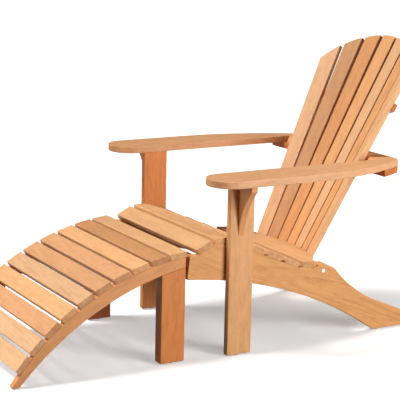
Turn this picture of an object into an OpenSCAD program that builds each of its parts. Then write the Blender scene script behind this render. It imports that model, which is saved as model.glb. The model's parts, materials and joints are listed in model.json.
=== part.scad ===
// Adirondack chair with its matching arched footrest, in oiled hardwood boards.
// Front faces -Y, +X is the sitter's left, Z is up, the floor is Z = 0.
// Units are millimetres. The origin is the bottom centre of the whole set's box.

/* [Boards] */
// Thickness of legs, stringers, arms and rails
board_t = 22; // [20:1:24]
// Thickness of every slat
slat_t = 19; // [17:1:20]
// Width of the seat and footrest slats
slat_w = 56; // [52:1:58]
// Radius on the long edges of the slats and legs
edge_r = 2.5; // [1:0.5:4]

/* [Chair frame] */
// Half of the distance between the outer faces of the front legs
leg_x = 292; // [280:1:300]
// Width of a front leg board, front to back
leg_w = 86; // [80:1:92]
// Height of the arm tops above the floor
arm_top = 577; // [565:1:590]
// Width of an arm at its widest
arm_w = 143; // [130:1:150]
// Distance from the centre line to an arm's inner edge
arm_in = 256; // [250:1:258]
// How far an arm's round nose reaches in front of the leg
arm_nose = 100; // [90:1:110]
// Height of the plastic glides under the feet
glide_h = 4; // [3:1:5]

/* [Back] */
// Lean of the back from upright, in degrees
back_lean = 28.6; // [27:0.1:30]
// Length of the middle back slat above the seat
back_len = 790; // [770:1:810]
// Slat width at the seat
back_w_low = 45; // [43:0.5:46]
// Slat width at the top rail
back_w_high = 63.5; // [60:0.5:65]
// Gap between slats at the seat
back_gap_low = 3.8; // [3:0.1:4.5]
// Gap between slats near the top
back_gap_high = 12.5; // [11:0.1:14]
// Radius of the arch cut across the tops of the slats
arch_r = 284; // [276:1:320]

/* [Footrest] */
// Half of the footrest's width
rest_x = 272; // [265:1:275]
// Thickness of a footrest leg, side to side
rest_leg_t = 38; // [36:1:40]
// Width of a footrest leg, front to back
rest_leg_w = 82; // [76:1:86]
// Rear edge of the footrest in front of the chair's legs
rest_rear = 141; // [138:1:180]

/* [Hidden] */
$fn = 64;
eps = 0.01;
// One bend of the back is described at two heights: the seat and near the top.
back_y = 423.5;      // front face of the middle slat at the seat
back_z = 256.5;      // height of that point
back_span = 736;     // slope length between the two described heights
bend_low = 404;      // radius of the slats' bend at the seat
bend_high = 522;     // radius of the slats' bend near the top
outer_low = -3.8;    // outer slats are this much narrower, low and high
outer_high = -1.9;
string_x = leg_x - board_t;
string_in = string_x - board_t;
arm_low = arm_top - board_t;
nose_r = arm_w / 2;
arm_mid = arm_in + nose_r;
rail_rear = 649;     // rear face of the rails at arm height
toe_y = -705;        // front tip of the footrest
y_max = back_y + back_len * sin(back_lean) + slat_t * cos(back_lean);
y_mid = (toe_y + y_max) / 2;
wood = [0.80, 0.55, 0.33];
wood2 = [0.74, 0.49, 0.29];
steel = [0.78, 0.78, 0.76];
nylon = [0.82, 0.82, 0.80];

// Seat slats: front upper corner in the YZ plane and slope in degrees
seat = [
    [-103.5, 348.7, 27.5],
    [-40, 378.5, -1],
    [30.4, 372.5, -20],
    [96.6, 345.8, -24],
    [163.4, 318.6, -25],
    [227, 291.2, -25]
];
// Rear seat board: front lower corner and slope, and its depth on top of the stringers
seat_rear = [288, 250, -5.5];
seat_rear_ends = 53;
seat_rear_play = 3;  // gap between that board and the back slats

// Footrest slats stand on a circle: radius of their tops, centre, first slat's angle, step
rest_r = 786;
rest_c = [-77.4, -433];
rest_a = 6.55;
rest_step = 4.787;
rest_in = sqrt(rest_r * rest_r - slat_w * slat_w / 4) - slat_t;

function seat_low(k, along) = [
    seat[k][0] + along * cos(seat[k][2]) + slat_t * sin(seat[k][2]),
    seat[k][1] + along * sin(seat[k][2]) - slat_t * cos(seat[k][2])
];

// ---------- general shapes ----------

// Rectangle with round corners, made of squares and circles so it stays exact
module round_rect(w, h, r) {
    translate([r, 0]) square([w - 2 * r, h]);
    translate([0, r]) square([w, h - 2 * r]);
    for (x = [r, w - r], y = [r, h - r]) translate([x, y]) circle(r);
}

// Turns a YZ outline into a board that runs along +X from x0
module board_yz(x0, length) {
    translate([x0, 0, 0]) rotate([90, 0, 90]) linear_extrude(length) children();
}

// Round bar along X from x0 to x1
module bar_x(x0, x1, y, z, r) {
    translate([x0, y, z]) rotate([0, 90, 0]) cylinder(h = x1 - x0, r = r);
}

// Both sides of the chair
module both() {
    children();
    mirror([1, 0, 0]) children();
}

// Everything is drawn from the chair's front legs and then centred
module place() {
    translate([0, -y_mid, 0]) children();
}

// ---------- back geometry ----------

// Arc position, lean and turn of back slat k, counted from the middle
function arc_low(k) = k == 0 ? 0 : sign(k) * (abs(k) < 3 ? abs(k) * (back_w_low + back_gap_low)
    : 2.5 * back_w_low + 3 * back_gap_low + (back_w_low + outer_low) / 2);
function arc_high(k) = k == 0 ? 0 : sign(k) * (abs(k) < 3 ? abs(k) * (back_w_high + back_gap_high)
    : 2.5 * back_w_high + 3 * back_gap_high + (back_w_high + outer_high) / 2);
function turn_low(k) = arc_low(k) / bend_low * 180 / PI;
function turn_high(k) = arc_high(k) / bend_high * 180 / PI;
function x_low(k) = bend_low * sin(turn_low(k));
function x_high(k) = bend_high * sin(turn_high(k));
function y_low(k) = -bend_low * (1 - cos(turn_low(k)));
function y_high(k) = -bend_high * (1 - cos(turn_high(k)));
function turn(k) = -(turn_low(k) + turn_high(k)) / 2;
function dir(k) = let (d = [x_high(k) - x_low(k), y_high(k) - y_low(k), back_span]) d / norm(d);
function dir_x(k) = dir(k)[0] * cos(turn(k)) + dir(k)[1] * sin(turn(k));
function dir_y(k) = -dir(k)[0] * sin(turn(k)) + dir(k)[1] * cos(turn(k));
function tip(k) = asin(-dir_y(k));
function fan(k) = atan2(dir_x(k), dir(k)[2]);

// Moves children from the leaning back's frame to the chair's frame
module in_back() {
    translate([0, back_y, back_z]) rotate([-back_lean, 0, 0]) children();
}

// Moves children from slat k's own frame to the leaning back's frame
module in_slat(k) {
    translate([x_low(k), y_low(k), 0]) rotate([tip(k), fan(k), turn(k)]) children();
}

// Half width of slat k at slope height s
function half_w(k, s) = let (o1 = abs(k) == 3 ? outer_low : 0, o2 = abs(k) == 3 ? outer_high : 0)
    (back_w_low + o1 + (back_w_high + o2 - back_w_low - o1) * s / back_span) / 2;

slat_foot = -70;     // lower end of the back slats, below the seat
arch_c = back_len - arch_r;

module slat_face(k) {
    s1 = back_len + 20;
    intersection() {
        polygon([
            [-half_w(k, slat_foot), slat_foot],
            [half_w(k, slat_foot), slat_foot],
            [half_w(k, s1), s1],
            [-half_w(k, s1), s1]
        ]);
        translate([-arc_low(k) * cos(fan(k)) - arch_c * sin(fan(k)),
                   -arc_low(k) * sin(fan(k)) + arch_c * cos(fan(k))])
            union() {
                circle(arch_r, $fn = 128);
                translate([-arch_r, -600]) square([2 * arch_r, 600]);
            }
    }
}

module back_slat(k) {
    color(k % 2 == 0 ? wood : wood2) place() in_back() in_slat(k) difference() {
        translate([0, slat_t, 0]) rotate([90, 0, 0]) linear_extrude(slat_t) slat_face(k);
        slat_screw_bores();
    }
}

// Everything in front of the backs of the slats, used to fit the rails to them.
// It runs past each slat into the gaps, and past the outer slats by a little play.
gap_reach = 9;
outer_play = 2;
module slat_zone(s0, s1, depth, side_play = outer_play) {
    for (k = [-3:3]) in_slat(k) {
        left = half_w(k, s1) + (k == -3 ? side_play : gap_reach);
        right = half_w(k, s1) + (k == 3 ? side_play : gap_reach);
        translate([-left, slat_t - depth, s0]) cube([left + right, depth, s1 - s0]);
    }
}

// ---------- chair: side frames ----------

module stringer_outline() {
    difference() {
        polygon([
            [-126, 250],
            [-131, 259],
            [-134, 266],
            [-127, 330],
            [-123, 334],
            seat_low(0, 0),
            seat_low(0, slat_w - 2),
            seat_low(1, 2),
            seat_low(1, slat_w),
            seat_low(2, 0),
            seat_low(2, slat_w),
            seat_low(3, 0),
            seat_low(3, slat_w),
            seat_low(4, 0),
            seat_low(4, slat_w),
            seat_low(5, 0),
            seat_low(5, slat_w),
            [seat_rear[0], seat_rear[1]],
            [seat_rear[0] + seat_rear_ends * cos(seat_rear[2]),
             seat_rear[1] + seat_rear_ends * sin(seat_rear[2])],
            [364.3, 259],
            [412.9, 234.6],
            [606.6, 96.4],
            [742, 38],
            [752, 25],
            [746, glide_h],
            [581, glide_h]
        ]);
        // hollow of the underside
        translate([-249, -1204.5]) circle(1466.5, $fn = 360);
        // hollow behind the hump
        translate([768.6, 524.4]) circle(457.5, $fn = 180);
    }
}

bolt_y = 367.7;
bolt_z = 230.8;
leg_screw_at = [[30, 290], [58, 290]];
apron = [-99, 262, 56]; // front face, lower edge, height

module stringer() {
    difference() {
        board_yz(string_in, board_t) stringer_outline();
        bar_x(string_in - 1, string_x + 1, bolt_y, bolt_z, 3.3);
        for (p = leg_screw_at) bar_x(string_in - 1, string_x + 1, p[0], p[1], 2.6);
        seat_dowel_set(4);
        apron_dowel_set(4);
        rear_glide_pins(2.5);
    }
}

module stringer_left() { color(wood2) place() stringer(); }
module stringer_right() { color(wood2) place() mirror([1, 0, 0]) stringer(); }

module front_leg() {
    difference() {
        translate([leg_x - board_t, 0, glide_h])
            linear_extrude(arm_low - glide_h) round_rect(board_t, leg_w, edge_r);
        for (p = leg_screw_at) bar_x(string_x - 1, string_x + 15, p[0], p[1], 2.5);
        arm_dowel_set(4);
        bracket_dowel_set(4);
        leg_glide_pin(2.5);
    }
}

module front_leg_left() { color(wood) place() front_leg(); }
module front_leg_right() { color(wood) place() mirror([1, 0, 0]) front_leg(); }

bracket_y = 28;      // front face of the arm bracket
bracket_w = 71;      // reach of the bracket under the arm
bracket_h = 172;     // height of the bracket
bracket_nose = 23;   // straight nose under the arm
bracket_r = 270;     // radius of the hollow edge
module bracket_outline() {
    chord = norm([bracket_w, bracket_h - bracket_nose]);
    slope = atan2(bracket_h - bracket_nose, bracket_w);
    sag_centre = -sqrt(bracket_r * bracket_r - chord * chord / 4);
    difference() {
        polygon([
            [0, 0],
            [bracket_w, bracket_h - bracket_nose],
            [bracket_w, bracket_h],
            [0, bracket_h]
        ]);
        translate([chord / 2 * cos(slope), chord / 2 * sin(slope)]) rotate(slope)
            translate([0, sag_centre]) circle(bracket_r, $fn = 180);
    }
}

module arm_bracket() {
    difference() {
        translate([leg_x, bracket_y + board_t, arm_low - bracket_h])
            rotate([90, 0, 0]) linear_extrude(board_t) bracket_outline();
        bracket_dowel_set(4);
    }
}

module arm_bracket_left() { color(wood2) place() arm_bracket(); }
module arm_bracket_right() { color(wood2) place() mirror([1, 0, 0]) arm_bracket(); }

arm_taper = 226;     // where the outer edge starts to sweep in
arm_sweep = 800;     // radius of that sweep
arm_end = 622;       // where the rounded rear corner starts
module arm_outline() {
    y_nose = nose_r - arm_nose;
    translate([arm_mid, y_nose]) circle(nose_r, $fn = 128);
    translate([arm_in, y_nose]) square([arm_w, arm_taper - y_nose]);
    intersection() {
        translate([arm_in, arm_taper - 1]) square([arm_w, rail_rear - arm_taper + 1]);
        translate([arm_in + arm_w - arm_sweep, arm_taper]) circle(arm_sweep, $fn = 360);
        polygon([
            [arm_in, 0],
            [arm_in + arm_w, 0],
            [arm_in + arm_w, arm_end - 60],
            [arm_in + 48, arm_end - 10],
            [arm_in + 43, arm_end + 2],
            [arm_in + 35, arm_end + 12],
            [arm_in + 24, arm_end + 20],
            [arm_in + 12, rail_rear - 3],
            [arm_in, rail_rear]
        ]);
    }
}

module arm() {
    difference() {
        translate([0, 0, arm_low]) linear_extrude(board_t) arm_outline();
        arm_dowel_set(4);
        arm_rail_screw_set(2.4);
    }
}

module arm_left() { color(wood) place() arm(); }
module arm_right() { color(wood) place() mirror([1, 0, 0]) arm(); }

module front_apron() {
    color(wood2) place() difference() {
        translate([-string_in, apron[0], apron[1]]) cube([2 * string_in, board_t, apron[2]]);
        both() apron_dowel_set(4);
    }
}

// ---------- seat ----------

module seat_slat(k) {
    color(k % 2 == 0 ? wood : wood2) place() difference() {
        translate([0, seat[k][0], seat[k][1]]) rotate([seat[k][2], 0, 0])
            translate([0, 0, -slat_t]) board_yz(-string_x, 2 * string_x)
                round_rect(slat_w, slat_t, edge_r);
        both() seat_dowel_set(4);
    }
}

module seat_rear_slat() {
    color(wood2) place() difference() {
        translate([0, seat_rear[0], seat_rear[1]]) rotate([seat_rear[2], 0, 0])
            linear_extrude(slat_t) polygon([
                [-string_x, 0],
                [string_x, 0],
                [string_x, seat_rear_ends],
                [string_in - 1, seat_rear_ends],
                [168, 112],
                [100, 150],
                [-100, 150],
                [-168, 112],
                [1 - string_in, seat_rear_ends],
                [-string_x, seat_rear_ends]
            ]);
        in_back() for (k = [-3:3]) in_slat(k)
            translate([-half_w(k, 0) - gap_reach, -seat_rear_play, -60])
                cube([2 * (half_w(k, 0) + gap_reach), 90, 200]);
        both() seat_dowel_set(4);
    }
}

// ---------- rails behind the back ----------

low_rail_top = -27;  // slope height of the lower rail's upper face
low_rail_h = 44;
low_rail_r = 540;    // radius of its rear face
low_rail_back = 62;  // how far that face stands behind the front of the slats
low_rail_front = 52; // how far its ends reach in front of them
module lower_back_rail() {
    color(wood2) place() difference() {
        in_back() difference() {
            translate([0, 0, low_rail_top - low_rail_h]) linear_extrude(low_rail_h) intersection() {
                translate([0, low_rail_back - low_rail_r]) circle(low_rail_r, $fn = 360);
                translate([-string_in, -low_rail_front]) square([2 * string_in, 200]);
            }
            slat_zone(-110, 10, 160);
            lower_screw_bores();
        }
        // the rear seat board rests on its ends
        translate([-string_in - 1, seat_rear[0], seat_rear[1]]) rotate([seat_rear[2], 0, 0])
            cube([2 * string_in + 2, 160, 60]);
        both() bar_x(string_in - 48, string_in + 1, bolt_y, bolt_z, 3.3);
        both() nut_bore();
    }
}

top_rail_at = 521;   // slope height of the top rail's lower edge
top_rail_h = 25;
top_rail_r = 465;    // radius of its rear face
top_rail_half = 235; // half of its length
module top_back_rail() {
    color(wood2) place() in_back() difference() {
        translate([0, 0, top_rail_at]) linear_extrude(top_rail_h) intersection() {
            translate([0, slat_t + board_t - top_rail_r]) circle(top_rail_r, $fn = 360);
            translate([-top_rail_half, -60]) square([2 * top_rail_half, 120]);
        }
        slat_zone(top_rail_at - 20, top_rail_at + 60, 160, 14);
        top_screw_bores();
    }
}

// Board between the arms, level with their tops; its front face leans with the back
rail_front = 552;    // front edge of the lower rail's underside
module upper_arm_rail() {
    color(wood) place() difference() {
        translate([-arm_in, rail_front - 6, arm_low])
            cube([2 * arm_in, rail_rear - rail_front + 6, board_t]);
        translate([-arm_in - 1, rail_front, arm_low - board_t]) rotate([-back_lean, 0, 0])
            translate([0, -60, -10]) cube([2 * arm_in + 2, 60, 90]);
        in_back() slat_zone(280, 420, 160);
        arm_rail_middle_screws(2.4);
    }
}

// Longer board below it that carries the rear ends of both arms
module lower_arm_rail() {
    color(wood2) place() difference() {
        translate([0, 0, arm_low - board_t]) linear_extrude(board_t) {
            translate([-arm_in - 1, rail_front]) square([2 * arm_in + 2, rail_rear - rail_front]);
            both() intersection() {
                arm_outline();
                translate([0, rail_front]) square([500, 200]);
            }
        }
        in_back() slat_zone(260, 400, 160);
        both() arm_rail_screw_set(2.6);
        arm_rail_middle_screws(2.6);
    }
}

// ---------- joints and fixings ----------

dowel_r = 4;
module seat_dowel_set(r) {
    for (k = [0:5]) translate([string_in + board_t / 2, seat[k][0], seat[k][1]])
        rotate([seat[k][2], 0, 0]) translate([0, slat_w / 2, -slat_t - 12]) cylinder(h = 24, r = r);
    translate([string_in + board_t / 2, seat_rear[0], seat_rear[1]]) rotate([seat_rear[2], 0, 0])
        translate([0, 26, -12]) cylinder(h = 24, r = r);
}
module seat_dowels() { color(wood) place() both() seat_dowel_set(dowel_r); }

module apron_dowel_set(r) {
    for (z = [14, 42]) bar_x(string_in - 14, string_in + 12, apron[0] + board_t / 2, apron[1] + z, r);
}
module apron_dowels() { color(wood) place() both() apron_dowel_set(dowel_r); }

module arm_dowel_set(r) {
    for (y = [22, 64]) translate([leg_x - board_t / 2, y, arm_low - 22]) cylinder(h = 36, r = r);
}
module arm_dowels() { color(wood) place() both() arm_dowel_set(dowel_r); }

module bracket_dowel_set(r) {
    for (z = [40, 75]) bar_x(leg_x - 12, leg_x + 18, bracket_y + board_t / 2, arm_low - z, r);
}
module bracket_dowels() { color(wood) place() both() bracket_dowel_set(dowel_r); }

// Pan-head screw pointing along +Z from the seat under its head
module screw(length, r) {
    translate([0, 0, -2.5]) difference() {
        cylinder(h = 2.5, r = 4.5);
        translate([0, 0, -eps]) cylinder(h = 1.5, r = 1.8, $fn = 6);
    }
    cylinder(h = length, r = r);
}

module leg_screws() {
    color(steel) place() both() for (p = leg_screw_at)
        translate([string_in, p[0], p[1]]) rotate([0, 90, 0]) screw(board_t + 14, 2.5);
}

// Screws up through the lower rail into the arms and into the upper rail
arm_screw_x = [268, 284];
arm_screw_y = 600;
rail_screw_x = [-210, -110, 110, 210];
rail_screw_y = 634;
module arm_rail_screw_set(r) {
    for (x = arm_screw_x) translate([x, arm_screw_y, arm_low - board_t - 1])
        cylinder(h = board_t + 13, r = r);
}
module arm_rail_middle_screws(r) {
    for (x = rail_screw_x) translate([x, rail_screw_y, arm_low - board_t - 1])
        cylinder(h = board_t + 13, r = r);
}
module arm_rail_screws() {
    color(steel) place() {
        both() for (x = arm_screw_x) translate([x, arm_screw_y, arm_low - board_t])
            screw(board_t + 12, 2.4);
        for (x = rail_screw_x) translate([x, rail_screw_y, arm_low - board_t])
            screw(board_t + 12, 2.4);
    }
}

// Screws through the rails into the backs of the slats, drawn in the back's frame
low_screw_s = low_rail_top - low_rail_h / 2;
top_screw_s = top_rail_at + top_rail_h / 2;
low_depth = 32;
top_depth = 12;
module slat_screw_bores() {
    for (s = [low_screw_s, top_screw_s]) translate([0, 6, s]) rotate([-90, 0, 0])
        cylinder(h = slat_t, r = 2.2);
}
module rail_screw_bore(k, s, depth) {
    in_slat(k) translate([0, slat_t, s]) rotate([-90, 0, 0]) {
        translate([0, 0, -1]) cylinder(h = depth + 2, r = 2.3);
        translate([0, 0, depth]) cylinder(h = 90, r = 5);
    }
}
module lower_screw_bores() { for (k = [-3:3]) rail_screw_bore(k, low_screw_s, low_depth); }
module top_screw_bores() { for (k = [-3:3]) rail_screw_bore(k, top_screw_s, top_depth); }
module rail_screw(k, s, depth) {
    in_slat(k) translate([0, slat_t + depth, s]) rotate([90, 0, 0]) screw(depth + 13, 2.2);
}
module lower_back_screws() {
    color(steel) place() in_back() for (k = [-3:3]) rail_screw(k, low_screw_s, low_depth);
}
module top_back_screws() {
    color(steel) place() in_back() for (k = [-3:3]) rail_screw(k, top_screw_s, top_depth);
}

// Furniture bolt with a hexagon socket, and the cross dowel nut inside the rail
nut_x = string_in - 34;
module rail_bolt() {
    translate([string_x, bolt_y, bolt_z]) rotate([0, 90, 0]) difference() {
        union() {
            cylinder(h = 2, r = 6.8);
            translate([0, 0, 2]) cylinder(h = 1, r1 = 6.8, r2 = 5.6);
        }
        translate([0, 0, 0.6]) cylinder(h = 5, r = 3, $fn = 6);
    }
    bar_x(string_in - 44, string_x + eps, bolt_y, bolt_z, 3);
}
module rail_bolts() { color(steel) place() both() rail_bolt(); }

module nut_frame() {
    translate([nut_x, bolt_y, bolt_z]) rotate([-back_lean, 0, 0]) children();
}
module nut_bore() { nut_frame() translate([0, 0, -40]) cylinder(h = 48, r = 5); }
module barrel_nuts() {
    color(steel) place() both() difference() {
        nut_frame() translate([0, 0, -8]) cylinder(h = 16, r = 5);
        bar_x(nut_x - 10, nut_x + 10, bolt_y, bolt_z, 3);
    }
}

// Glides
module glide(r) {
    cylinder(h = glide_h, r = r);
    cylinder(h = glide_h + 14, r = 2.5);
}
rear_glide_y = [604, 722];
module leg_glide_pin(r) {
    translate([leg_x - board_t / 2, leg_w / 2, 0]) cylinder(h = glide_h + 14, r = r);
}
module rear_glide_pins(r) {
    for (y = rear_glide_y) translate([string_x - board_t / 2, y, 0]) cylinder(h = glide_h + 14, r = r);
}
module chair_glides() {
    color(nylon) place() both() {
        translate([leg_x - board_t / 2, leg_w / 2, 0]) glide(9);
        for (y = rear_glide_y) translate([string_x - board_t / 2, y, 0]) glide(9);
    }
}

// ---------- footrest ----------

function rest_at(k) = rest_a + (k - 1) * rest_step;

// Frame of footrest slat k: origin under the middle of its lower face
module in_rest(k) {
    translate([0, rest_c[0], rest_c[1]]) rotate([rest_at(k), 0, 0])
        translate([0, 0, rest_in]) children();
}

module rest_slat(k) {
    color(k % 2 == 0 ? wood : wood2) place() difference() {
        in_rest(k) board_yz(-rest_x, 2 * rest_x)
            translate([-slat_w / 2, 0]) round_rect(slat_w, slat_t, edge_r);
        both() rest_dowel_set(dowel_r);
    }
}

// Hollow under the footrest's side boards
module rest_hollow() {
    translate([8.4, -614]) circle(925.6, $fn = 360);
}

module rest_rail_outline() {
    difference() {
        union() {
            intersection() {
                translate(rest_c) circle(rest_in + 0.6, $fn = 360);
                translate([toe_y + 30, glide_h]) square([-rest_rear - toe_y - 30, 400]);
            }
            polygon([
                [-640, 85],
                [-676, 45],
                [-679, 40],
                [-700, 15],
                [-704, 10],
                [toe_y, 7],
                [-702, glide_h],
                [-660, glide_h],
                [-640, 20]
            ]);
        }
        rest_hollow();
        for (k = [1:10]) translate(rest_c) rotate(rest_at(k))
            translate([-slat_w / 2, rest_in]) square([slat_w, 60]);
    }
}

module rest_rail() {
    difference() {
        board_yz(rest_x - board_t, board_t) rest_rail_outline();
        rest_dowel_set(dowel_r);
        rest_screw_set(2.4, 14);
        rest_toe_pin(2.5);
    }
}
module footrest_rail_left() { color(wood) place() rest_rail(); }
module footrest_rail_right() { color(wood) place() mirror([1, 0, 0]) rest_rail(); }

// The leg carries the rail on its outer half and laps up behind it
rest_leg_top = 318;
module rest_leg() {
    difference() {
        translate([rest_x - rest_leg_t, -rest_rear - rest_leg_w, glide_h])
            linear_extrude(rest_leg_top - glide_h) round_rect(rest_leg_t, rest_leg_w, edge_r);
        board_yz(rest_x - board_t, board_t + 1) difference() {
            translate([-rest_rear - rest_leg_w - 1, 200]) square([rest_leg_w + 2, 200]);
            rest_hollow();
        }
        board_yz(rest_x - rest_leg_t - 1, rest_leg_t + 2) translate(rest_c)
            difference() {
                circle(1200);
                circle(rest_in - 3, $fn = 360);
            }
        rest_screw_set(2.6, 0);
        translate([rest_x - rest_leg_t / 2, -rest_rear - rest_leg_w / 2, 0])
            cylinder(h = glide_h + 14, r = 2.5);
    }
}
module footrest_leg_left() { color(wood2) place() rest_leg(); }
module footrest_leg_right() { color(wood2) place() mirror([1, 0, 0]) rest_leg(); }

rest_screw_at = [[-rest_rear - 20, 306], [-rest_rear - 60, 298]];
module rest_screw_set(r, reach) {
    for (p = rest_screw_at)
        bar_x(rest_x - rest_leg_t - 1, rest_x - board_t + reach, p[0], p[1], r);
}
module footrest_screws() {
    color(steel) place() both() for (p = rest_screw_at)
        translate([rest_x - rest_leg_t, p[0], p[1]]) rotate([0, 90, 0])
            screw(rest_leg_t - board_t + 14, 2.4);
}

module rest_dowel_set(r) {
    for (k = [1:10]) in_rest(k) translate([rest_x - board_t / 2, 0, -12]) cylinder(h = 24, r = r);
}
module footrest_dowels() { color(wood) place() both() rest_dowel_set(dowel_r); }

rest_toe_glide_y = -691;
module rest_toe_pin(r) {
    translate([rest_x - board_t / 2, rest_toe_glide_y, 0]) cylinder(h = glide_h + 14, r = r);
}
module footrest_glides() {
    color(nylon) place() both() {
        translate([rest_x - rest_leg_t / 2, -rest_rear - rest_leg_w / 2, 0]) glide(10);
        translate([rest_x - board_t / 2, rest_toe_glide_y, 0]) glide(8);
    }
}

module seat_slat_1() { seat_slat(0); }
module seat_slat_2() { seat_slat(1); }
module seat_slat_3() { seat_slat(2); }
module seat_slat_4() { seat_slat(3); }
module seat_slat_5() { seat_slat(4); }
module seat_slat_6() { seat_slat(5); }
module seat_slat_7() { seat_rear_slat(); }
module back_slat_1() { back_slat(-3); }
module back_slat_2() { back_slat(-2); }
module back_slat_3() { back_slat(-1); }
module back_slat_4() { back_slat(0); }
module back_slat_5() { back_slat(1); }
module back_slat_6() { back_slat(2); }
module back_slat_7() { back_slat(3); }
module footrest_slat_1() { rest_slat(1); }
module footrest_slat_2() { rest_slat(2); }
module footrest_slat_3() { rest_slat(3); }
module footrest_slat_4() { rest_slat(4); }
module footrest_slat_5() { rest_slat(5); }
module footrest_slat_6() { rest_slat(6); }
module footrest_slat_7() { rest_slat(7); }
module footrest_slat_8() { rest_slat(8); }
module footrest_slat_9() { rest_slat(9); }
module footrest_slat_10() { rest_slat(10); }

stringer_left();
stringer_right();
front_leg_left();
front_leg_right();
arm_bracket_left();
arm_bracket_right();
arm_left();
arm_right();
front_apron();
seat_slat_1();
seat_slat_2();
seat_slat_3();
seat_slat_4();
seat_slat_5();
seat_slat_6();
seat_slat_7();
back_slat_1();
back_slat_2();
back_slat_3();
back_slat_4();
back_slat_5();
back_slat_6();
back_slat_7();
lower_back_rail();
upper_arm_rail();
lower_arm_rail();
top_back_rail();
seat_dowels();
apron_dowels();
arm_dowels();
bracket_dowels();
leg_screws();
arm_rail_screws();
lower_back_screws();
top_back_screws();
rail_bolts();
barrel_nuts();
chair_glides();
footrest_rail_left();
footrest_rail_right();
footrest_leg_left();
footrest_leg_right();
footrest_slat_1();
footrest_slat_2();
footrest_slat_3();
footrest_slat_4();
footrest_slat_5();
footrest_slat_6();
footrest_slat_7();
footrest_slat_8();
footrest_slat_9();
footrest_slat_10();
footrest_dowels();
footrest_screws();
footrest_glides();
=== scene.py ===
"""Looks of the slatted garden chair and its footrest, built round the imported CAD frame. Metres, +Z up."""

import json
import math
import random

import bmesh
import bpy
import numpy as np
from mathutils import Matrix, Vector


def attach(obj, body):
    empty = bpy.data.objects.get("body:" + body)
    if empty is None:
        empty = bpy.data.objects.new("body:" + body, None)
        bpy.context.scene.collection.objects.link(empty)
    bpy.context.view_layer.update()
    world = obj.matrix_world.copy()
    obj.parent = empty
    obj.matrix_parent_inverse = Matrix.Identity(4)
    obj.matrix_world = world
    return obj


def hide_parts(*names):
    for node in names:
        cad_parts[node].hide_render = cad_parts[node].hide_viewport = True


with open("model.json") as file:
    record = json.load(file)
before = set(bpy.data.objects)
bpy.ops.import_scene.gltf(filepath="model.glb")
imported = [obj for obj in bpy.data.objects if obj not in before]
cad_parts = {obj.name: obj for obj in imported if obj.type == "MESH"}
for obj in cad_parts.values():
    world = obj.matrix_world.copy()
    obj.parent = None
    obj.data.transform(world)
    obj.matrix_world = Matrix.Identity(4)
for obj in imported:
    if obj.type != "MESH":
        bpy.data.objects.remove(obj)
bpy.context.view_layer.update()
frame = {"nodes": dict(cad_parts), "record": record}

# ---------- what each board is like ----------

# Edge rounding in metres, by the start of the node's name
EDGE = {
    "arm_bracket": 0.0015,
    "arm": 0.002,
    "front_leg": 0.003,
    "footrest_leg": 0.003,
    "stringer": 0.002,
    "footrest_rail": 0.002,
}
EDGE_DEFAULT = 0.0015
EDGE_SEGMENTS = 3
# Edges sharper than this are rounded; faces flatter to each other than FLAT are joined
SHARP = math.radians(40)
FLAT = math.radians(0.3)
SAME_POINT = 2e-6

# Timber tones: light and dark grain as linear colours; the red and dark tones are painted shade, darker and
# redder copies of the wood for parts that sit in shadow
TONES = {
    "pale": ((0.72, 0.40, 0.185), (0.53, 0.255, 0.10)),
    "honey": ((0.68, 0.345, 0.14), (0.48, 0.205, 0.066)),
    "pink": ((0.68, 0.35, 0.165), (0.49, 0.22, 0.09)),
    "brown": ((0.57, 0.275, 0.115), (0.38, 0.16, 0.058)),
    # painted shade: the wood as it looks in shadow
    "red": ((0.60, 0.20, 0.042), (0.40, 0.105, 0.018)),
    "orange": ((0.64, 0.285, 0.105), (0.46, 0.175, 0.05)),
    "amber": ((0.68, 0.325, 0.112), (0.48, 0.195, 0.052)),
    # painted shade: the wood as it looks in deep shadow
    "dark": ((0.38, 0.085, 0.018), (0.25, 0.045, 0.009)),
    "cream": ((0.72, 0.41, 0.21), (0.55, 0.28, 0.125)),
}
# Boards sawn flat show arched figure; the others are sawn across the rings and show straight lines
FLAT_SAWN = (
    "stringer_left",
    "stringer_right",
    "footrest_slat_6",
    "footrest_slat_9",
    "back_slat_6",
    "seat_slat_7",
    "arm_right",
)
# How far the pith lies from a board, and the space between growth rings, in metres
PITH_AWAY = (0.07, 0.16)
RING_GAP = (0.0035, 0.0055)
# Tones by the start of the node's name; the longest match counts. The far front leg, the footrest legs and
# far rail, the apron and the arm and back rails get painted-shade tones
TONE_OF = {
    "back_slat_1": "cream",
    "back_slat_2": "brown",
    "back_slat_3": "orange",
    "back_slat_4": "honey",
    "back_slat_5": "cream",
    "back_slat_6": "honey",
    "back_slat_7": "pale",
    "seat_slat": "pale",
    "stringer": "amber",
    # painted shade on the far front leg and the footrest legs, deepest on the far ones
    "front_leg_right": "red",
    "footrest_leg": "red",
    "footrest_leg_right": "dark",
    "footrest_rail": "orange",
    "footrest_rail_right": "dark",
    "footrest_slat": "pale",
    "footrest_slat_6": "cream",
    "footrest_slat_9": "cream",
    "footrest_slat_10": "cream",
    "footrest_slat_2": "brown",
    "footrest_slat_4": "pink",
    "footrest_slat_5": "pink",
    "footrest_slat_8": "pink",
    # painted shade on the apron and on the rails under the arms and behind the slats
    "lower_arm_rail": "red",
    "front_apron": "red",
    "top_back_rail": "red",
    "arm": "pink",
    "arm_bracket": "orange",
}
TONE_DEFAULT = "honey"

# ---------- the studio ----------

FLOOR_SIZE = 60
FLOOR_GLOW = 0.34
# The sky is brightest overhead and on this side
SKY_FRONT = (0.3, -0.95, 0.0)
CAMERA_AT = (3.6586, -2.13634, 1.3399)
CAMERA_ANGLES = (59.657, 12.026, 1.286)
CAMERA_LENS = 120.32


def by_prefix(table, name, default):
    """The value of the longest key that name starts with."""
    keys = [k for k in table if name.startswith(k)]
    return table[max(keys, key=len)] if keys else default


# ---------- small helpers for shader trees ----------


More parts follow.
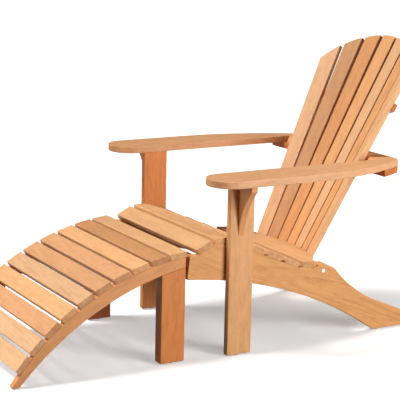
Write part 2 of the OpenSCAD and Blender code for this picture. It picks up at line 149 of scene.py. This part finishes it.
class Tree:
    """Adds nodes to a material and links them with few words."""

    def __init__(self, name):
        self.mat = bpy.data.materials.new(name)
        self.mat.use_nodes = True
        self.nodes = self.mat.node_tree.nodes
        self.links = self.mat.node_tree.links
        self.nodes.clear()
        self.shader = self.nodes.new("ShaderNodeBsdfPrincipled")
        out = self.nodes.new("ShaderNodeOutputMaterial")
        self.links.new(self.shader.outputs[0], out.inputs["Surface"])
        self.coords = self.nodes.new("ShaderNodeTexCoord")

    def put(self, socket, value):
        if isinstance(value, bpy.types.NodeSocket):
            self.links.new(value, socket)
        else:
            socket.default_value = value

    def math(self, op, *values):
        n = self.nodes.new("ShaderNodeMath")
        n.operation = op
        for socket, value in zip(n.inputs, values):
            self.put(socket, value)
        return n.outputs[0]

    def vector(self, op, *values, out="Vector"):
        n = self.nodes.new("ShaderNodeVectorMath")
        n.operation = op
        for socket, value in zip(n.inputs, values):
            self.put(socket, value)
        return n.outputs[out]

    def noise(self, at, scale, detail=2.0, rough=0.5, colour=False):
        """Noise whose grains are 1/scale metres long on each axis."""
        n = self.nodes.new("ShaderNodeTexNoise")
        n.inputs["Scale"].default_value = 1.0
        n.inputs["Detail"].default_value = detail
        n.inputs["Roughness"].default_value = rough
        self.put(n.inputs["Vector"], self.vector("MULTIPLY", at, scale))
        return n.outputs["Color" if colour else "Fac"]

    def steps(self, value, *stops):
        """Runs value through a curve of (input, output) stops."""
        n = self.nodes.new("ShaderNodeFloatCurve")
        curve = n.mapping.curves[0]
        while len(curve.points) > 2:
            curve.points.remove(curve.points[1])
        first, last = stops[0], stops[-1]
        curve.points[0].location = first
        curve.points[1].location = last
        for stop in stops[1:-1]:
            curve.points.new(*stop)
        for point in curve.points:
            point.handle_type = "VECTOR"
        n.mapping.update()
        self.put(n.inputs["Value"], value)
        return n.outputs[0]

    def ramp(self, value, low, high, to_low=0.0, to_high=1.0, smooth=True):
        """Maps low..high onto to_low..to_high."""
        n = self.nodes.new("ShaderNodeMapRange")
        n.interpolation_type = "SMOOTHSTEP" if smooth else "LINEAR"
        keys = ("Value", "From Min", "From Max", "To Min", "To Max")
        for key, v in zip(keys, (value, low, high, to_low, to_high)):
            self.put(n.inputs[key], v)
        return n.outputs[0]

    def mix(self, amount, a, b, blend="MIX"):
        n = self.nodes.new("ShaderNodeMix")
        n.data_type = "RGBA"
        n.blend_type = blend
        colour_inputs = [s for s in n.inputs if s.type == "RGBA"]
        self.put(n.inputs[0], amount)
        for socket, value in zip(colour_inputs, (a, b)):
            if not isinstance(value, bpy.types.NodeSocket) and len(value) == 3:
                value = (*value, 1.0)
            self.put(socket, value)
        return next(s for s in n.outputs if s.type == "RGBA")

    def bump(self, height, distance, strength=1.0):
        n = self.nodes.new("ShaderNodeBump")
        n.inputs["Distance"].default_value = distance
        n.inputs["Strength"].default_value = strength
        self.put(n.inputs["Height"], height)
        self.put(self.shader.inputs["Normal"], n.outputs[0])

    def set(self, **values):
        for key, value in values.items():
            self.put(self.shader.inputs[key.replace("_", " ")], value)
        return self.mat


# ---------- materials ----------


def board_space(t, axes, centre, draw):
    """Board coordinates, a little tilted: x along the grain, y across the face, z through the board."""
    turn = Matrix(axes).to_4x4()
    tilt_y = Matrix.Rotation(draw.uniform(-0.035, 0.035), 4, "Y")
    tilt_z = Matrix.Rotation(draw.uniform(-0.02, 0.02), 4, "Z")
    place = tilt_y @ tilt_z @ turn @ Matrix.Translation(-Vector(centre))
    mapping = t.nodes.new("ShaderNodeMapping")
    mapping.inputs["Location"].default_value = place.translation + Vector((draw.uniform(0, 40), 0, 0))
    mapping.inputs["Rotation"].default_value = place.to_euler()
    t.put(mapping.inputs["Vector"], t.coords.outputs["Object"])
    return mapping.outputs[0]


def late_wood(t, at, flat_sawn, draw):
    """The dark part of each growth ring. The rings run round the pith, outside the board."""
    if flat_sawn:
        pith_angle = draw.uniform(-0.5, 0.5)
    else:
        pith_angle = draw.choice((-1, 1)) * draw.uniform(1.0, 1.5)
    pith_away = draw.uniform(*PITH_AWAY)
    pith = (0.0, pith_away * math.sin(pith_angle), -pith_away * math.cos(pith_angle))
    drift = t.noise(at, (1.8, 8, 8), 2, 0.5, colour=True)
    drift = t.vector("MULTIPLY_ADD", drift, (0, 0.014, 0.014), (0, -0.007, -0.007))
    wander = t.noise(at, (9, 70, 70), 2, 0.5, colour=True)
    wander = t.vector("MULTIPLY_ADD", wander, (0, 0.0012, 0.0012), (0, -0.0006, -0.0006))
    moved = t.vector("ADD", t.vector("ADD", at, drift), wander)
    flat = t.vector("MULTIPLY", t.vector("SUBTRACT", moved, pith), (0, 1, 1))
    radius = t.vector("LENGTH", flat, out="Value")
    ring = t.math("FRACT", t.math("DIVIDE", radius, draw.uniform(*RING_GAP)))
    late = t.steps(ring, (0, 0.25), (0.12, 0.0), (0.6, 0.25), (0.86, 0.85), (0.95, 1.0), (1.0, 0.25))
    faint = t.noise(at, (2.2, 22, 22), 2, 0.5)
    return t.math("MULTIPLY", late, t.ramp(faint, 0.3, 0.7, 0.35, 1.0))


def timber(name, axes, centre, tone):
    """Oiled hardwood with its grain along axes[0], sawn from its own place in the log."""
    draw = random.Random(name)
    flat_sawn = name in FLAT_SAWN
    # For the red and dark tones these colours carry painted shade
    light, dark = TONES[tone]
    shade = draw.uniform(0.93, 1.07)
    warm = draw.uniform(-0.03, 0.03)
    light = tuple(c * shade * (1 + warm * k) for c, k in zip(light, (1, 0, -1)))
    dark = tuple(c * shade * (1 + warm * k) for c, k in zip(dark, (1, 0, -1)))

    t = Tree("timber_" + name)
    at = board_space(t, axes, centre, draw)
    late = late_wood(t, at, flat_sawn, draw)

    # Fibres, pores and the slow change of tint along a board
    fibre = t.noise(at, (9, 330, 330), 4, 0.65)
    streak = t.noise(at, (0.7, 120, 120), 3, 0.6)
    pores = t.ramp(t.noise(at, (42, 1150, 1150), 1, 0.5), 0.61, 0.70)
    tint = t.noise(at, (1.3, 10, 10), 2, 0.5)
    fleck = t.noise(at, (55, 130, 130), 2, 0.6)

    figure = 0.75 if flat_sawn else 0.4
    amount = t.math("MULTIPLY_ADD", late, figure, t.ramp(streak, 0.3, 0.75, 0.0, 0.24))
    amount = t.math("ADD", amount, t.ramp(fibre, 0.3, 0.75, -0.08, 0.22))
    amount = t.math("ADD", amount, t.ramp(fleck, 0.35, 0.7, -0.04, 0.06))
    amount = t.ramp(amount, 0.0, 1.0, 0.0, 1.0, smooth=False)
    colour = t.mix(amount, light, dark)
    redder = tuple(a * b for a, b in zip(light, (0.97, 0.80, 0.70)))
    colour = t.mix(t.ramp(tint, 0.4, 0.72, 0.0, 0.3), colour, t.mix(amount, redder, dark))
    colour = t.mix(t.math("MULTIPLY", pores, 0.5), colour, tuple(c * 0.45 for c in dark))

    # Sawn ends soak up more oil
    facing = t.vector("DOT_PRODUCT", t.coords.outputs["Normal"], tuple(axes[0]), out="Value")
    end = t.ramp(t.math("ABSOLUTE", facing), 0.55, 0.85)
    soaked = t.mix(1.0, colour, (0.80, 0.68, 0.56), "MULTIPLY")
    colour = t.mix(end, colour, soaked)

    # Painted highlight: the rounded edges are painted lighter, in patches
    painted_highlight_edges = t.nodes.new("ShaderNodeAttribute")
    painted_highlight_edges.attribute_name = "painted_highlight_edges"
    highlight_patches = t.ramp(t.noise(at, (14, 60, 60), 3, 0.6), 0.35, 0.65, 0.1, 0.5)
    edge_highlight = t.math("MULTIPLY", painted_highlight_edges.outputs["Fac"], highlight_patches)
    colour = t.mix(edge_highlight, colour, tuple(min(1.0, c * 1.18) for c in light))

    rough = t.ramp(amount, 0.0, 1.0, 0.50, 0.62, smooth=False)
    rough = t.math("ADD", rough, t.math("MULTIPLY", end, 0.15))
    height = t.math("SUBTRACT", t.math("MULTIPLY", fibre, 0.5), t.math("MULTIPLY", pores, 0.6))
    height = t.math("SUBTRACT", height, t.math("MULTIPLY", late, 0.25))
    t.bump(height, 0.00035, 0.7)
    return t.set(Base_Color=colour, Roughness=rough, Specular_IOR_Level=0.35)


def steel():
    """Zinc-bright steel, turned, with fine scratches and a dull film."""
    t = Tree("steel_fixing")
    at = t.coords.outputs["Object"]
    film = t.noise(at, (180, 180, 180), 3, 0.6)
    scratch = t.noise(at, (2400, 500, 2400), 2, 0.7)
    colour = t.mix(t.ramp(film, 0.35, 0.7), (0.72, 0.71, 0.68), (0.50, 0.49, 0.46))
    rough = t.math("ADD", t.ramp(film, 0.3, 0.7, 0.28, 0.5), t.math("MULTIPLY", scratch, 0.08))
    t.bump(scratch, 0.00008, 0.5)
    return t.set(Base_Color=colour, Roughness=rough, Metallic=1.0)


def nylon():
    """Pale moulded plastic, a little soiled near the floor."""
    t = Tree("nylon_glide")
    at = t.coords.outputs["Object"]
    soil = t.noise(at, (90, 90, 400), 3, 0.6)
    grain = t.noise(at, (1500, 1500, 1500), 2, 0.5)
    colour = t.mix(t.ramp(soil, 0.4, 0.75), (0.66, 0.64, 0.60), (0.42, 0.38, 0.33))
    t.bump(grain, 0.0001, 0.5)
    return t.set(Base_Color=colour, Roughness=t.ramp(soil, 0.3, 0.7, 0.45, 0.65))


# ---------- boards ----------


def main_axes(mesh):
    """The board's long, wide and thin directions, from how its surface spreads."""
    centres = np.array([p.center for p in mesh.polygons])
    areas = np.array([p.area for p in mesh.polygons])
    middle = (centres * areas[:, None]).sum(0) / areas.sum()
    spread = (centres - middle) * np.sqrt(areas)[:, None]
    _, vectors = np.linalg.eigh(spread.T @ spread)
    long_way = Vector(vectors[:, 2])
    thin = Vector(vectors[:, 0])
    if max(long_way, key=abs) < 0:
        long_way = -long_way
    return (long_way, thin.cross(long_way), thin), middle


def rounded_copy(node, width):
    """A clean copy of a CAD board with its sharp outer edges rounded over."""
    bm = bmesh.new()
    bm.from_mesh(frame["nodes"][node].data)
    bmesh.ops.remove_doubles(bm, verts=bm.verts, dist=SAME_POINT)
    bmesh.ops.dissolve_limit(bm, angle_limit=FLAT, verts=bm.verts, edges=bm.edges)
    edges = [e for e in bm.edges if len(e.link_faces) == 2 and e.is_convex and e.calc_face_angle() > SHARP]
    made = bmesh.ops.bevel(
        bm,
        geom=edges,
        offset=width,
        segments=EDGE_SEGMENTS,
        profile=0.5,
        affect="EDGES",
        clamp_overlap=False,
    )
    # Marks the rounded faces, which timber() paints lighter as a painted edge highlight
    painted_highlight_edges = bm.loops.layers.float_color.new("painted_highlight_edges")
    for face in made["faces"]:
        for loop in face.loops:
            loop[painted_highlight_edges] = (1, 1, 1, 1)
    bm.normal_update()
    mesh = bpy.data.meshes.new(node + "_board")
    bm.to_mesh(mesh)
    bm.free()
    for polygon in mesh.polygons:
        polygon.use_smooth = True
    mesh.set_sharp_from_angle(angle=SHARP)
    return mesh


def dress_board(node, body):
    """Replaces one CAD board with its rounded copy in its own cut of timber."""
    mesh = rounded_copy(node, by_prefix(EDGE, node, EDGE_DEFAULT))
    axes, middle = main_axes(frame["nodes"][node].data)
    mesh.materials.append(timber(node, axes, middle, by_prefix(TONE_OF, node, TONE_DEFAULT)))
    board = bpy.data.objects.new(node + "_board", mesh)
    bpy.context.collection.objects.link(board)
    shade = board.modifiers.new("flat_faces_stay_flat", "WEIGHTED_NORMAL")
    shade.keep_sharp = True
    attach(board, body)
    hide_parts(node)


def dress_fixing(node, material):
    """A CAD fixing, dowel or glide keeps its shape and gets a finished material."""
    mesh = frame["nodes"][node].data
    mesh.materials.clear()
    mesh.materials.append(material)


# All dowels share one grain direction, across the chair
DOWEL_AXES = (Vector((1, 0, 0)), Vector((0, 1, 0)), Vector((0, 0, 1)))
steel_mat = steel()
nylon_mat = nylon()
slots = {s["node"]: s["material_slot"] for s in frame["record"]["subparts"]}
for body, nodes in frame["record"]["behaviour"]["bodies"].items():
    for node in nodes:
        slot = slots[node]
        if slot == "steel_fixing":
            dress_fixing(node, steel_mat)
        elif slot == "nylon_glide":
            dress_fixing(node, nylon_mat)
        elif slot == "wood_dowel":
            dress_fixing(node, timber(node, DOWEL_AXES, (0, 0, 0), "pale"))
        else:
            dress_board(node, body)

# ---------- floor, light and camera ----------


def studio():
    """A wide pale floor under a white sky that is brighter in front than behind."""
    bpy.ops.mesh.primitive_plane_add(size=FLOOR_SIZE, location=(0, 0, 0))
    floor = bpy.context.object
    floor.name = "studio_floor"
    t = Tree("studio_floor")
    dust = t.noise(t.coords.outputs["Object"], (3, 3, 3), 2, 0.5)
    colour = t.mix(t.ramp(dust, 0.3, 0.7), (0.92, 0.92, 0.92), (0.90, 0.90, 0.90))
    t.set(Base_Color=colour, Roughness=0.9, Specular_IOR_Level=0.1)
    t.set(Emission_Color=(1.0, 1.0, 1.0, 1.0), Emission_Strength=FLOOR_GLOW)
    floor.data.materials.append(t.mat)
    floor.visible_diffuse = False

    world = bpy.data.worlds.new("studio_sky")
    bpy.context.scene.world = world
    world.use_nodes = True
    nodes, links = world.node_tree.nodes, world.node_tree.links
    where = nodes.new("ShaderNodeTexCoord")
    split = nodes.new("ShaderNodeSeparateXYZ")
    links.new(where.outputs["Generated"], split.inputs[0])
    towards = nodes.new("ShaderNodeVectorMath")
    towards.operation = "DOT_PRODUCT"
    towards.inputs[1].default_value = SKY_FRONT
    links.new(where.outputs["Generated"], towards.inputs[0])
    # Bright overhead and in front, dim behind, nearly dark below the floor
    height = nodes.new("ShaderNodeMapRange")
    front = nodes.new("ShaderNodeMapRange")
    sky_curves = (
        (height, split.outputs["Z"], (-0.10, 0.18, 0.05, 1.65)),
        (front, towards.outputs["Value"], (-0.7, 0.8, 0.30, 1.0)),
    )
    for n, source, values in sky_curves:
        links.new(source, n.inputs["Value"])
        for key, v in zip(("From Min", "From Max", "To Min", "To Max"), values):
            n.inputs[key].default_value = v
    both = nodes.new("ShaderNodeMath")
    both.operation = "MULTIPLY"
    links.new(height.outputs[0], both.inputs[0])
    links.new(front.outputs[0], both.inputs[1])
    links.new(both.outputs[0], nodes["Background"].inputs["Strength"])


def soft_box(name, at, towards, size, power):
    """A square lamp that shines from one point towards another."""
    light = bpy.data.lights.new(name, "AREA")
    light.shape = "SQUARE"
    light.size = size
    light.energy = power
    lamp = bpy.data.objects.new(name, light)
    bpy.context.collection.objects.link(lamp)
    lamp.location = at
    lamp.rotation_mode = "QUATERNION"
    lamp.rotation_quaternion = (Vector(towards) - Vector(at)).to_track_quat("-Z", "Y")


def sun(name, direction, strength, angle):
    """Even light from one side, as soft as a source of that width."""
    light = bpy.data.lights.new(name, "SUN")
    light.energy = strength
    light.angle = math.radians(angle)
    lamp = bpy.data.objects.new(name, light)
    bpy.context.collection.objects.link(lamp)
    lamp.rotation_mode = "QUATERNION"
    lamp.rotation_quaternion = (-Vector(direction)).to_track_quat("-Z", "Y")


def camera():
    """The view from the sitter's left front and from above the back's top, turned 1.3 degrees."""
    azimuth, elevation, roll = (math.radians(a) for a in CAMERA_ANGLES)
    level = math.cos(elevation)
    back = Vector((math.sin(azimuth) * level, -math.cos(azimuth) * level, math.sin(elevation)))
    right = (-back).cross(Vector((0, 0, 1))).normalized()
    up = right.cross(-back)
    side = right * math.cos(roll) + up * math.sin(roll)
    top = up * math.cos(roll) - right * math.sin(roll)
    data = bpy.data.cameras.new("camera")
    data.lens = CAMERA_LENS
    data.sensor_width = 36
    data.clip_end = 200
    cam = bpy.data.objects.new("camera", data)
    bpy.context.collection.objects.link(cam)
    turn = Matrix((side, top, back)).transposed().to_4x4()
    cam.matrix_world = Matrix.Translation(CAMERA_AT) @ turn
    bpy.context.scene.camera = cam


studio()
sun("key", (-0.25, -0.66, 1.2), 3.45, 20)
soft_box("front_fill", (-0.5, -4.0, 0.9), (0, 0, 0.35), 2.0, 55)
soft_box("fill", (3.5, 1.5, 1.1), (0, 0, 0.4), 1.8, 155)
camera()
bpy.context.scene.view_settings.view_transform = "Standard"
